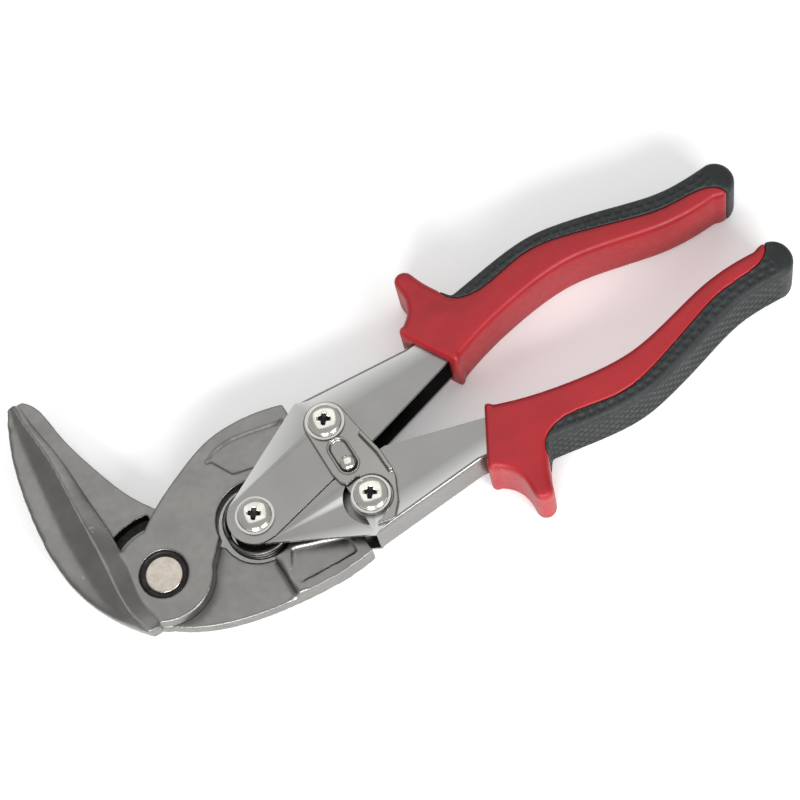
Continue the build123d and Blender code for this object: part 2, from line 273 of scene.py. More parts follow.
def as_object(name: str, bm: bmesh.types.BMesh, smooth_angle: float = 180.0) -> bpy.types.Object:
    """Make a scene object of a bmesh and free it.

    Args:
        name: Name of the object and its mesh.
        bm: Mesh in its final place.
        smooth_angle: Edges sharper than this, in degrees, are shaded as creases.

    Returns:
        The new object, at the origin.
    """
    limit = math.radians(smooth_angle)
    for edge in bm.edges:
        if len(edge.link_faces) == 2 and edge.calc_face_angle() > limit:
            edge.smooth = False
    for face in bm.faces:
        face.smooth = True
    mesh = bpy.data.meshes.new(name)
    bm.to_mesh(mesh)
    bm.free()
    obj = bpy.data.objects.new(name, mesh)
    bpy.context.scene.collection.objects.link(obj)
    return obj


def place(obj: bpy.types.Object, body: str, slot: str, finish: "Finish",
          stands_for: tuple[str, ...] = (), patch: "Finish | None" = None,
          on_patch: Callable[[Vector, Vector], bool] | None = None) -> bpy.types.Object:
    """Dress a finished piece and hand it to the body that carries it.

    Args:
        obj: Piece in its final place.
        body: CAD body that it rides on.
        slot: Material slot of the record; not used.
        finish: Finish that covers it.
        stands_for: CAD nodes that it replaces.
        patch: Second finish for part of the surface, here always the painted shade, or None.
        on_patch: Test of a face's centre and normal that picks the second finish.

    Returns:
        The same piece.
    """
    obj.data.materials.clear()
    obj.data.materials.append(finish.material())
    if patch is not None:
        obj.data.materials.append(patch.material())
        for polygon in obj.data.polygons:
            polygon.material_index = int(on_patch(polygon.center, polygon.normal))
    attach(obj, body)
    if stands_for:
        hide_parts(*stands_for)
    log.info("%s: %d faces on %s", obj.name, len(obj.data.polygons), body)
    return obj


# Finishes
@dataclass(frozen=True)
class Grain:
    """Noise: cells per metre, octaves, extra scale along each axis, and degrees about Z."""

    scale: float
    detail: float = 3.0
    stretch: Triple = (1, 1, 1)
    turn: float = 0.0


class Graph:
    """A material's node tree with short calls to add and join nodes."""

    def __init__(self, name: str) -> None:
        """Start a material with its Principled shader.

        Args:
            name: Name of the material.
        """
        self.material = bpy.data.materials.new(name)
        self.material.use_nodes = True
        self.tree = self.material.node_tree
        self.shader = self.tree.nodes["Principled BSDF"]

    def node(self, kind: str, **values: object) -> bpy.types.Node:
        """Add a node and set its properties or inputs.

        Args:
            kind: Node type.
            **values: Properties, or inputs by name with spaces as underscores.

        Returns:
            The new node.
        """
        made = self.tree.nodes.new(kind)
        for key, value in values.items():
            if hasattr(made, key):
                setattr(made, key, value)
            else:
                made.inputs[key.replace("_", " ")].default_value = value
        return made

    def join(self, source: bpy.types.NodeSocket, target: bpy.types.NodeSocket) -> None:
        """Link two sockets."""
        self.tree.links.new(source, target)

    def noise(self, grain: Grain) -> bpy.types.NodeSocket:
        """Add noise on Object coordinates.

        Args:
            grain: Size and direction of the noise.

        Returns:
            The noise value socket.
        """
        coordinates = self.node("ShaderNodeTexCoord")
        mapping = self.node("ShaderNodeMapping", Scale=grain.stretch,
                            Rotation=(0, 0, math.radians(grain.turn)))
        texture = self.node("ShaderNodeTexNoise", Scale=grain.scale, Detail=grain.detail)
        self.join(coordinates.outputs["Object"], mapping.inputs["Vector"])
        self.join(mapping.outputs["Vector"], texture.inputs["Vector"])
        return texture.outputs["Fac"]

    def spread(self, source: bpy.types.NodeSocket, result: Span,
               span: Span = (0.3, 0.7)) -> bpy.types.NodeSocket:
        """Map a value from one span to another.

        Args:
            source: Value to map.
            result: Span that it is mapped to.
            span: Span that it is mapped from; values past its ends are held.

        Returns:
            The mapped value.
        """
        mapped = self.node("ShaderNodeMapRange", clamp=True, From_Min=span[0], From_Max=span[1],
                           To_Min=result[0], To_Max=result[1])
        self.join(source, mapped.inputs["Value"])
        return mapped.outputs["Result"]

    def mix(self, share: bpy.types.NodeSocket, first: bpy.types.NodeSocket | Colour,
            second: Colour) -> bpy.types.NodeSocket:
        """Mix two colours.

        Args:
            share: Share of the second colour.
            first: First colour, as a socket or as a value.
            second: Second colour.

        Returns:
            The mixed colour.
        """
        mixer = self.node("ShaderNodeMix", data_type="RGBA")
        first_input, second_input = (
            [socket for socket in mixer.inputs if socket.name == name and socket.type == "RGBA"][0]
            for name in ("A", "B"))
        self.join(share, mixer.inputs["Factor"])
        if isinstance(first, tuple):
            first_input.default_value = (*first, 1)
        else:
            self.join(first, first_input)
        second_input.default_value = (*second, 1)
        return [socket for socket in mixer.outputs if socket.type == "RGBA"][0]

    def edges(self, span: Span) -> bpy.types.NodeSocket:
        """Share that rises on convex edges over a span of pointiness, for paler edges that stand
        partly for wear and partly for painted highlight.
        """
        geometry = self.node("ShaderNodeNewGeometry")
        return self.spread(geometry.outputs["Pointiness"], FULL, span)

    def bump(self, source: bpy.types.NodeSocket, relief: Relief,
             under: bpy.types.NodeSocket | None = None) -> bpy.types.NodeSocket:
        """Bump from a height value.

        Args:
            source: Height from 0 to 1.
            relief: Strength, and the height of a full step in metres.
            under: Normal that it adds to, or None.

        Returns:
            The normal.
        """
        made = self.node("ShaderNodeBump", Strength=relief[0], Distance=relief[1])
        self.join(source, made.inputs["Height"])
        if under is not None:
            self.join(under, made.inputs["Normal"])
        return made.outputs["Normal"]

    def surface(self, colour: bpy.types.NodeSocket, roughness: bpy.types.NodeSocket,
                normal: bpy.types.NodeSocket, metallic: float = 0.0) -> None:
        """Join the finished values to the shader.

        Args:
            colour: Base colour.
            roughness: Roughness.
            normal: Normal.
            metallic: Share of metal.
        """
        for name, source in (("Base Color", colour), ("Roughness", roughness),
                             ("Normal", normal)):
            self.join(source, self.shader.inputs[name])
        self.shader.inputs["Metallic"].default_value = metallic


class Finish:
    """A finish, whose material is built once and shared."""

    name: str
    _made: dict[str, bpy.types.Material] = {}

    def material(self) -> bpy.types.Material:
        """Build the finish's material on first use.

        Returns:
            The shared material.
        """
        if self.name not in Finish._made:
            graph = Graph(self.name)
            self.build(graph)
            Finish._made[self.name] = graph.material
        return Finish._made[self.name]

    def build(self, graph: Graph) -> None:
        """Fill in the node tree; each finish has its own."""
        raise NotImplementedError


@dataclass(frozen=True)
class ForgedSteel(Finish):
    """Drop-forged blade steel: matt, mottled, with bright edges that are partly rubbed and partly
    painted highlight.
    """

    name: str = "forged_blade_steel"
    colour: Colour = (0.262, 0.255, 0.244)
    shade: Colour = (0.222, 0.218, 0.210)
    # Paler edge colour: rubbed steel plus a painted highlight on convex edges.
    edge: Colour = (0.42, 0.41, 0.395)
    pale_edge_span: Span = (0.53, 0.66)
    mottle: Grain = Grain(95, 5)
    mottle_span: Span = (0.35, 0.68)
    polish: Grain = Grain(420, 4)
    roughness: Span = (0.30, 0.42)
    blast: Grain = Grain(3600, 2)
    blast_relief: Relief = (0.22, 0.12 * MM)
    grinding: Grain = Grain(300, 3, (1, 14, 1), 28)
    grinding_relief: Relief = (0.12, 0.12 * MM)

    def build(self, graph: Graph) -> None:
        """Mottled base, fine shot-blast grain and bright edges, partly rubbed and partly painted
        highlight.

        Args:
            graph: Node tree to fill.
        """
        mottle = graph.spread(graph.noise(self.mottle), FULL, self.mottle_span)
        base = graph.mix(mottle, self.colour, self.shade)
        # Convex edges mixed to a paler colour: rubbing, and a painted highlight.
        base = graph.mix(graph.edges(self.pale_edge_span), base, self.edge)
        blast = graph.bump(graph.noise(self.blast), self.blast_relief)
        lines = graph.bump(graph.noise(self.grinding), self.grinding_relief, blast)
        graph.surface(base, graph.spread(graph.noise(self.polish), self.roughness), lines, 1.0)


@dataclass(frozen=True)
class BrushedPlate(Finish):
    """Nickel-plated pressed sheet with a fine lengthways grain."""

    name: str = "nickel_plated_sheet"
    colour: Colour = (0.262, 0.258, 0.248)
    shade: Colour = (0.235, 0.231, 0.223)
    # Much paler edge colour: a painted highlight on the sheared edges.
    edge: Colour = (0.62, 0.62, 0.605)
    pale_edge_span: Span = (0.53, 0.68)
    cloud: Grain = Grain(70, 4)
    roughness: Span = (0.24, 0.30)
    brush_scale: float = 160
    brush_stretch: Triple = (1, 38, 38)
    brush_relief: Relief = (0.035, 0.05 * MM)
    turn: float = 0.0

    def build(self, graph: Graph) -> None:
        """Cloudy plating over brushed grain.

        Args:
            graph: Node tree to fill.
        """
        cloud = graph.spread(graph.noise(self.cloud), FULL)
        base = graph.mix(cloud, self.colour, self.shade)
        # Painted highlight: convex sheared edges are mixed to the paler edge colour.
        base = graph.mix(graph.edges(self.pale_edge_span), base, self.edge)
        brush = graph.noise(Grain(self.brush_scale, 3, self.brush_stretch, self.turn))
        graph.surface(base, graph.spread(brush, self.roughness),
                      graph.bump(brush, self.brush_relief), 1.0)


@dataclass(frozen=True)
class BrightChrome(Finish):
    """Polished hardware with faint handling marks."""

    name: str = "bright_chrome"
    colour: Colour = (0.80, 0.775, 0.72)
    stain: Colour = (0.60, 0.57, 0.50)
    smudge: Grain = Grain(260, 5)
    stain_share: Span = (0, 0.7)
    stain_span: Span = (0.48, 0.75)
    roughness: Span = (0.10, 0.20)
    ripple: Grain = Grain(520)
    ripple_relief: Relief = (0.05, 0.1 * MM)

    def build(self, graph: Graph) -> None:
        """Mirror plate with smudges and a soft orange-peel ripple.

        Args:
            graph: Node tree to fill.
        """
        smudge = graph.noise(self.smudge)
        stained = graph.spread(smudge, self.stain_share, self.stain_span)
        graph.surface(graph.mix(stained, self.colour, self.stain),
                      graph.spread(smudge, self.roughness),
                      graph.bump(graph.noise(self.ripple), self.ripple_relief), 1.0)


@dataclass(frozen=True)
class PeenedNickel(Finish):
    """Warm pivot metal with a peened, uneven face."""

    name: str = "peened_pivot_metal"
    colour: Colour = (0.58, 0.52, 0.455)
    shade: Colour = (0.48, 0.43, 0.375)
    facets: Grain = Grain(430)
    facet_relief: Relief = (0.22, 0.3 * MM)
    satin: Grain = Grain(900)
    roughness: Span = (0.22, 0.4)

    def build(self, graph: Graph) -> None:
        """Hammered facets under a satin surface.

        Args:
            graph: Node tree to fill.
        """
        facets = graph.noise(self.facets)
        graph.surface(graph.mix(graph.spread(facets, FULL), self.colour, self.shade),
                      graph.spread(graph.noise(self.satin), self.roughness),
                      graph.bump(facets, self.facet_relief), 1.0)


@dataclass(frozen=True)
class OiledMetalAndPaintedShade(Finish):
    """Dark metal under an uneven film: oiled spring wire, and the near-black painted shade laid in
    hollows.
    """

    name: str
    colour: Colour
    shade: Colour
    film: Grain
    roughness: Span
    marks: Grain
    marks_relief: Relief
    metallic: float

    def build(self, graph: Graph) -> None:
        """Patchy film with fine marks.

        Args:
            graph: Node tree to fill.
        """
        film = graph.noise(self.film)
        graph.surface(graph.mix(graph.spread(film, FULL), self.colour, self.shade),
                      graph.spread(film, self.roughness),
                      graph.bump(graph.noise(self.marks), self.marks_relief), self.metallic)


SPRING_WIRE = OiledMetalAndPaintedShade(
    "oiled_spring_wire", (0.16, 0.155, 0.15), (0.08, 0.078, 0.075), Grain(380, 4), (0.3, 0.48),
    Grain(2600), (0.2, 0.05 * MM), 1.0)
# Painted shade: near-black metal laid where shade falls, in the counterbore, the relief groove, the
# channel insides and the cross recesses.
PAINTED_SHADE_METAL = OiledMetalAndPaintedShade(
    "painted_shade_metal", (0.030, 0.028, 0.027), (0.012, 0.011, 0.011), Grain(300, 4), (0.42, 0.6),
    Grain(1900), (0.2, 0.1 * MM), 0.6)


@dataclass(frozen=True)
class MouldedPlastic(Finish):
    """Red moulded grip: satin, with a fine pebble texture and paler ridges, partly rubbed and
    partly painted highlight.
    """

    name: str = "moulded_red_plastic"
    colour: Colour = (0.36, 0.010, 0.016)
    shade: Colour = (0.30, 0.008, 0.013)
    # Paler ridge colour: rubbing, and a painted highlight along the ridges.
    edge: Colour = (0.46, 0.035, 0.042)
    pale_edge_span: Span = (0.515, 0.60)
    flow: Grain = Grain(60, 4, (1, 2.2, 1))
    satin: Grain = Grain(500)
    roughness: Span = (0.38, 0.50)
    pebble: Grain = Grain(2100, 2)
    pebble_relief: Relief = (0.28, 0.1 * MM)
    sink: Grain = Grain(240, 2)
    sink_relief: Relief = (0.10, 0.3 * MM)
    specular: float = 0.42

    def build(self, graph: Graph) -> None:
        """Flow-mottled colour, pebbled skin and paler ridges, partly rubbed and partly painted
        highlight.

        Args:
            graph: Node tree to fill.
        """
        flow = graph.spread(graph.noise(self.flow), FULL)
        base = graph.mix(flow, self.colour, self.shade)
        # Ridges mixed to a paler red: rubbing, and a painted highlight.
        base = graph.mix(graph.edges(self.pale_edge_span), base, self.edge)
        pebble = graph.bump(graph.noise(self.pebble), self.pebble_relief)
        graph.surface(base, graph.spread(graph.noise(self.satin), self.roughness),
                      graph.bump(graph.noise(self.sink), self.sink_relief, pebble))
        graph.shader.inputs["Specular IOR Level"].default_value = self.specular


@dataclass(frozen=True)
class OvermouldRubber(Finish):
    """Soft green-black outer layer with a dry bloom."""

    name: str = "black_overmould_rubber"
    colour: Colour = (0.007, 0.010, 0.010)
    bloom: Colour = (0.016, 0.019, 0.020)
    edge: Colour = (0.035, 0.039, 0.040)
    pale_edge_span: Span = (0.51, 0.58)
    patch: Grain = Grain(150, 5)
    patch_span: Span = (0.42, 0.72)
    satin: Grain = Grain(700)
    roughness: Span = (0.5, 0.68)
    skin: Grain = Grain(2800)
    skin_relief: Relief = (0.35, 0.12 * MM)

    def build(self, graph: Graph) -> None:
        """Patchy bloom over a fine grained skin, paler on convex corners such as the tread's.

        Args:
            graph: Node tree to fill.
        """
        patch = graph.spread(graph.noise(self.patch), FULL, self.patch_span)
        base = graph.mix(patch, self.colour, self.bloom)
        base = graph.mix(graph.edges(self.pale_edge_span), base, self.edge)
        graph.surface(base, graph.spread(graph.noise(self.satin), self.roughness),
                      graph.bump(graph.noise(self.skin), self.skin_relief))


# Jaws
@dataclass
class UpperJaw:
    """Near jaw: a tall curved blade with a hollow crescent face, and its arm."""

    voxel: float = 0.4 * MM
    rim: list[Plan] = field(default_factory=lambda: [
        (30.4, 26.2), (34.3, 27.9), (42.0, 28.1), (56.5, 25.0)])
    rim_slope: float = 1.5
    rim_overlap: float = 0.5
    panel_depth: float = 0.8
    panel_start_x: float = 28.0
    arm_face: float = 5.9
    face_skin: float = 0.3
    crescent_x: float = -15.4
    crescent_rise: float = 2.2
    crescent_end_y: float = 74.0
    crescent_rounds: int = 34
    first_rounds: int = 2
    last_rounds: int = 3
    bore: float = 8.15
    bore_skin: float = 0.25
    finish: Finish = ForgedSteel()
    # Painted shade for the counterbore's faces.
    painted_shade_finish: Finish = PAINTED_SHADE_METAL

    def in_bore(self, centre: Vector, normal: Vector) -> bool:
        """Whether a face is in the counterbore, which gets the painted shade."""
        height = abs(centre.z - middle_height()) / MM
        return centre.xy.length / MM < self.bore and height < self.arm_face - self.bore_skin

    def on_crescent(self, co: Vector) -> bool:
        """Whether a vertex is on the wide hollow face."""
        return (co.x < self.crescent_x * MM and co.y < self.crescent_end_y * MM
                and co.z > middle_height() + self.crescent_rise * MM)

    def shape(self) -> bpy.types.Object:
        """Round the forging, slope the field's rim and fair the crescent face.

        Returns:
            The jaw, undressed.
        """
        clay = Clay("upper_jaw", self.voxel)
        rim = Track(self.rim)
        clay.smooth(self.first_rounds)
        clay.smooth(self.crescent_rounds, self.on_crescent)

        def slope_rim(co: Vector, normal: Vector) -> Vector | None:
            """Lean the field's outer wall inwards."""
            height = (co.z - middle_height()) / MM
            if (height < self.arm_face - self.panel_depth - self.face_skin
                    or co.x < self.panel_start_x * MM):
                return None
            distance, _, side = rim.locate(co)
            inside = distance if side < 0 else -distance
            if not -self.rim_overlap < inside < self.rim_slope:
                return None
            fall = self.panel_depth * ease(-self.rim_overlap, self.rim_slope, inside)
            return Vector((0, 0, (self.arm_face - fall - height) * MM))

        clay.draw(slope_rim)
        clay.smooth(self.last_rounds)
        return clay.finish("upper_jaw_forging")

    def build(self) -> bpy.types.Object:
        """Shape and dress the jaw."""
        return place(self.shape(), "upper_jaw_body", "jaw_steel", self.finish, ("upper_jaw",),
                     self.painted_shade_finish, self.in_bore)


@dataclass
class LowerJaw:
    """Far jaw: a flat blade, its relief groove, and its arm."""

    voxel: float = 0.4 * MM
    step_x: float = 33.0
    step_run: float = 4.0
    step_rise: float = -0.8
    step_edge_y: float = -14.5
    step_rounds: int = 45
    edge_rounds: int = 4
    groove_radius: Span = (19.0, 23.5)
    groove_x: Span = (-12.0, 4.5)
    groove_start_y: float = 12.0
    groove_drop: Span = (0.3, 3.8)
    finish: Finish = ForgedSteel()
    # Painted shade for the relief groove's faces.
    painted_shade_finish: Finish = PAINTED_SHADE_METAL

    def in_groove(self, centre: Vector, normal: Vector) -> bool:
        """Whether a face is in the relief groove, which gets the painted shade."""
        drop = (middle_height() - centre.z) / MM
        return (within(centre.xy.length / MM, self.groove_radius)
                and within(centre.x / MM, self.groove_x)
                and centre.y / MM > self.groove_start_y and within(drop, self.groove_drop))

    def on_step(self, co: Vector) -> bool:
        """Whether a vertex is on the arm's step."""
        return (abs(co.x / MM - self.step_x) < self.step_run and co.y / MM < self.step_edge_y
                and co.z > middle_height() + self.step_rise * MM)

    def shape(self) -> bpy.types.Object:
        """Round the forging's edges and run the arm's step out into a slope.

        Returns:
            The jaw, undressed.
        """
        clay = Clay("lower_jaw", self.voxel)
        clay.smooth(self.edge_rounds)
        clay.smooth(self.step_rounds, self.on_step)
        return clay.finish("lower_jaw_forging")

    def build(self) -> bpy.types.Object:
        """Shape and dress the jaw."""
        return place(self.shape(), "lower_jaw_body", "jaw_steel", self.finish, ("lower_jaw",),
                     self.painted_shade_finish, self.in_groove)


# Handles
@dataclass
class Handle:
    """One folded sheet channel."""

    side: Side
    edge_round: float = 0.28 * MM
    sheared_angle: float = 50.0
    flat_angle: float = 0.5
    inner_half: float = 6.2
    inner_skin: float = 0.05
    wall_margin: float = 0.3
    facing: float = 0.5
    plate_tilt: float = 0.999
    finish: Finish = BrushedPlate()
    # Painted shade for the faces that look into the channel.
    painted_shade_finish: Finish = PAINTED_SHADE_METAL

    def inside(self, centre: Vector, normal: Vector) -> bool:
        """Pick the faces of the channel that look into it, which get the painted shade.

        Args:
            centre: Centre of a face.
            normal: Its normal.

        Returns:
            Whether the face is inside.
        """
        height = (centre.z - middle_height()) / MM
        if normal.z * height < -self.facing * abs(height):
            return abs(height) < self.inner_half + self.inner_skin
        return abs(height) < self.inner_half - self.wall_margin and self.looks_at_seam(normal)

    def looks_at_seam(self, normal: Vector) -> bool:
        """Whether a wall's inner face looks towards the other handle."""
        return (-normal.y if self.side is Side.UPPER else normal.y) > self.facing

    def shape(self) -> bpy.types.Object:
        """Break every sheared edge of the channel.

        Returns:
            The channel, undressed.
        """
        bm = bmesh.new()
        bm.from_mesh(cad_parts[f"{self.side.value}_handle"].data)
        bmesh.ops.remove_doubles(bm, verts=bm.verts, dist=MERGE)
        bmesh.ops.dissolve_limit(bm, angle_limit=math.radians(self.flat_angle), verts=bm.verts,
                                 edges=bm.edges)
        sheared = math.radians(self.sheared_angle)
        sharp = [edge for edge in bm.edges
                 if len(edge.link_faces) == 2 and edge.calc_face_angle() > sheared]
        bmesh.ops.bevel(bm, geom=sharp, offset=self.edge_round, offset_type="OFFSET",
                        affect="EDGES", segments=2, profile=0.5, material=-1, clamp_overlap=True)
        obj = as_object(f"{self.side.value}_handle_channel", bm)
        for polygon in obj.data.polygons:
            polygon.use_smooth = abs(polygon.normal.z) < self.plate_tilt
        weighted = obj.modifiers.new("flat_faces_first", "WEIGHTED_NORMAL")
        weighted.weight = 100
        return obj

    def build(self) -> bpy.types.Object:
        """Shape and dress the handle."""
        name = f"{self.side.value}_handle"
        return place(self.shape(), f"{name}_body", "handle_steel", self.finish, (name,),
                     self.painted_shade_finish, self.inside)


# Grips
@dataclass
class Grip:
    """One two-shot grip: red body, black outer layer, guard wing and tread."""

    side: Side
    voxel: float = 0.42 * MM
    outer: list[Plan] = field(default_factory=lambda: [
        (118, 46), (121.8, 36.6), (126, 30.2), (143, 33), (160, 34), (171, 32), (183, 28.8),
        (193, 25.8), (203, 23.6), (212, 23.2), (220, 23.6), (225.4, 18.2)])
    red_rounds: int = 9
    black_rounds: int = 6
    crown: float = 0.9
    crown_reach: float = 9.0
    mouth: list[Plan] = field(default_factory=lambda: [(104.8, 27.6), (109.9, 18.3), (115, 9)])
    mouth_end_x: float = 118.5
    lip: float = 0.8
    lip_width: float = 1.9
    lip_fade: Span = (0.6, 1.5)
    lip_lean: float = 0.3
    lip_rounds: int = 2
    tread_run: Span = (12.0, 112.0)
    tread_pitch: float = 3.6
    tread_rows: float = 2.3
    tread_depth: float = 0.4
    block_half: Span = (0.85, 0.4)
    block_soft: Span = (0.5, 0.45)
    broad_facing: float = 0.8
    broad_band: Span = (1.6, 8.0)
    side_facing: float = 0.45
    side_reach: float = 2.5
    side_half: float = 8.2
    red: Finish = MouldedPlastic()
    black: Finish = OvermouldRubber()

    def working_turn(self) -> Matrix:
        """Turn either grip to the upper grip's place.

        Returns:
            The turn from the part's frame.
        """
        if self.side is Side.UPPER:
            return Matrix.Identity(4)
        centre = Vector((0, 0, middle_height()))
        return (Matrix.Translation(centre) @ Matrix.Rotation(math.pi, 4, "X")
                @ Matrix.Translation(-centre))

    def soften(self, clay: Clay, outline: Track, rounds: int) -> None:
        """Crown both broad faces towards the outline and relax the edges.

        Args:
            clay: Working mesh of one shot.
            outline: Outer edge of the grip in plan.
            rounds: Number of smoothing passes.
        """
        middle = middle_height()

        def crowned(co: Vector, normal: Vector) -> Vector | None:
            """Pull the broad faces in near the outer side."""
            distance, _, _ = outline.locate(co)
            pull = self.crown * (1 - ease(0, self.crown_reach, distance))
            return Vector((0, 0, -pull * (co.z - middle) / middle * MM))

        clay.draw(crowned)
        clay.smooth(rounds)

    def collar(self, clay: Clay) -> None:
        """Raise a rounded lip round the grip's mouth, no lower than the rest plane.

        Args:
            clay: Working mesh of the red shot.
        """
        mouth = Track(self.mouth)
        top = 2 * middle_height()
        fade_start, fade_end = (share * self.lip_width for share in self.lip_fade)

        def raised(co: Vector, normal: Vector) -> Vector | None:
            """Outward move of the lip at a vertex."""
            distance, _, _ = mouth.locate(co)
            if distance > 2 * self.lip_width or co.x > self.mouth_end_x * MM:
                return None
            rise = self.lip * MM * (1 - ease(fade_start, fade_end, distance))
            shift = Vector((normal.x * self.lip_lean, normal.y, normal.z)) * rise
            shift.z = min(max(co.z + shift.z, 0.0), top) - co.z
            return shift

        clay.draw(raised)
        clay.smooth(self.lip_rounds)

    def across_tread(self, distance: float, height: float, facing: float) -> float | None:
        """Place a vertex across the tread's rows.

        Args:
            distance: Distance from the grip's outer edge in plan, in millimetres.
            height: Height above the middle plane, in millimetres.
            facing: Upward share of the normal, unsigned.

        Returns:
            Millimetres across the rows, or None off the tread.
        """
        if facing > self.broad_facing:
            start, end = self.broad_band
            return distance - start if start <= distance <= end else None
        on_side = facing < self.side_facing and distance < self.side_reach
        return height if on_side and abs(height) <= self.side_half else None

    def tread(self, clay: Clay, outline: Track) -> None:
        """Sink rows of small blocks into the outer side and the broad faces' outer band.

        Args:
            clay: Working mesh of the black shot.
            outline: Outer edge of the grip in plan.
        """
        middle = middle_height()
        start, end = self.tread_run

        def dimple(co: Vector, normal: Vector) -> Vector | None:
            """Depth of the tread at a vertex."""
            distance, along, _ = outline.locate(co)
            if along < start or along > end:
                return None
            across = self.across_tread(distance, (co.z - middle) / MM, abs(normal.z))
            if across is None:
                return None
            row = math.floor(across / self.tread_rows)
            step = along / self.tread_pitch + (0.5 if row % 2 else 0.0)
            span = (step % 1.0 - 0.5) * self.tread_pitch
            rise = (across / self.tread_rows % 1.0 - 0.5) * self.tread_rows
            depth = (bump_profile(0, self.block_half[0], self.block_soft[0], span)
                     * bump_profile(0, self.block_half[1], self.block_soft[1], rise))
            return -normal * (self.tread_depth * MM * depth)

        clay.draw(dimple)

    def build(self) -> list[bpy.types.Object]:
        """Shape and dress both shots of the grip.

        Returns:
            The red and the black shot.
        """
        side = self.side.value
        body = f"{side}_handle_body"
        outline = Track(self.outer)
        turn = self.working_turn()

        red = Clay(f"{side}_grip", self.voxel, turn)
        self.soften(red, outline, self.red_rounds)
        self.collar(red)
        black = Clay(f"{side}_grip_overmould", self.voxel, turn)
        self.soften(black, outline, self.black_rounds)
        self.tread(black, outline)
        return [
            place(red.finish(f"{side}_grip_moulding"), body, "grip_red", self.red,
                  (f"{side}_grip",)),
            place(black.finish(f"{side}_grip_overmould_moulding"), body, "grip_black", self.black,
                  (f"{side}_grip_overmould",)),
        ]


# Bolts and the jaw pivot
def turned_piece(profile: list[Plan], centre: Vector, steps: int) -> bmesh.types.BMesh:
    """Spin a half profile of radius and height, in metres, about an upright axis.

    Args:
        profile: Radius and height of each point, from the axis or a bore round to its end.
        centre: Plan place of the axis.
        steps: Segments of the full turn.

    Returns:
        A closed bmesh.
    """
    bm = bmesh.new()
    points = [bm.verts.new((centre.x + radius, centre.y, height)) for radius, height in profile]
    edges = [bm.edges.new(pair) for pair in zip(points, points[1:])]
    bmesh.ops.spin(bm, geom=points + edges, cent=centre, axis=(0, 0, 1), angle=math.tau,
                   steps=steps, use_merge=True)
    bmesh.ops.remove_doubles(bm, verts=bm.verts, dist=MERGE / 10)
    bmesh.ops.recalc_face_normals(bm, faces=bm.faces)
    return bm


@dataclass
class PanHeadBolt:
    """Domed cross-recess bolt with its full shank."""

    node: str
    body: str
    shank: float = 3.2 * MM
    chamfer: float = 0.5 * MM
    head: float = 5.6 * MM
    head_height: float = 2.5 * MM
    rim_height: float = 0.45 * MM
    recess_reach: float = 2.3 * MM
    recess_end: float = 0.35 * MM
    recess_floor: float = 0.35
    recess_half: float = 0.5 * MM
    recess_flare: float = 0.25 * MM
    recess_wall: float = 0.22 * MM
    recess_depth: float = 1.6 * MM
    recess_turn: float = 35.0
    painted_shade_reach: float = 2.6 * MM
    painted_shade_start: float = 0.62 * MM
    steps: int = 144
    rings: int = 40
    crease: float = 40.0
    finish: Finish = BrightChrome()
    # Painted shade for the cross recess.
    painted_shade_finish: Finish = PAINTED_SHADE_METAL

    def in_recess(self, centre: Vector, normal: Vector) -> bool:
        """Whether a face is in the cross recess, which gets the painted shade."""
        depth = node_box(self.node)[1].z - centre.z
        return ((centre.xy - axis_of(self.node).xy).length < self.painted_shade_reach
                and self.painted_shade_start < depth < self.head_height)

    def profile(self) -> list[Plan]:
        """Draw the crown, rim, seat, shank and chamfered end.

        Returns:
            Radius and height of each point, from the crown's centre to the end's.
        """
        low, high = node_box(self.node)
        dome = self.head_height - self.rim_height
        seat = high.z - self.head_height
        crown = []
        for index in range(self.rings + 1):
            share = index / self.rings
            spread = (math.sin(share * math.pi / 2) + share) / 2
            fall = 1 - math.sqrt(max(0.0, 1 - spread ** 2))
            crown.append((self.head * spread, high.z - dome * fall))
        return [*crown, (self.head, seat), (self.shank, seat), (self.shank, low.z + self.chamfer),
                (self.shank - self.chamfer, low.z), (0.0, low.z)]

    def recess(self, across: float, along: float) -> float:
        """Share of the recess's depth in one arm of the cross.

        Args:
            across: Distance from the arm's middle line, in metres.
            along: Distance out along the arm, in metres.

        Returns:
            A share from 0 to 1.
        """
        width = self.recess_half + self.recess_flare * ease(self.recess_reach, 0, along)
        return (ease(width + self.recess_wall, width, across)
                * ease(self.recess_reach + self.recess_end, self.recess_reach * self.recess_floor,
                       along))

    def build(self) -> bpy.types.Object:
        """Spin the bolt, sink its recess and dress it.

        Returns:
            The finished bolt.
        """
        centre = axis_of(self.node)
        bm = turned_piece(self.profile(), centre, self.steps)
        rim = node_box(self.node)[1].z - self.head_height + self.rim_height
        turn = Matrix.Rotation(math.radians(self.recess_turn), 4, "Z")
        for vertex in bm.verts:
            if vertex.co.z > rim:
                local = turn @ (vertex.co - centre)
                x, y = abs(local.x), abs(local.y)
                vertex.co.z -= self.recess_depth * max(self.recess(y, x), self.recess(x, y))
        obj = as_object(f"{self.node}_turned", bm, self.crease)
        return place(obj, self.body, "bright_bolts", self.finish, (self.node,), self.painted_shade_finish,
                     self.in_recess)


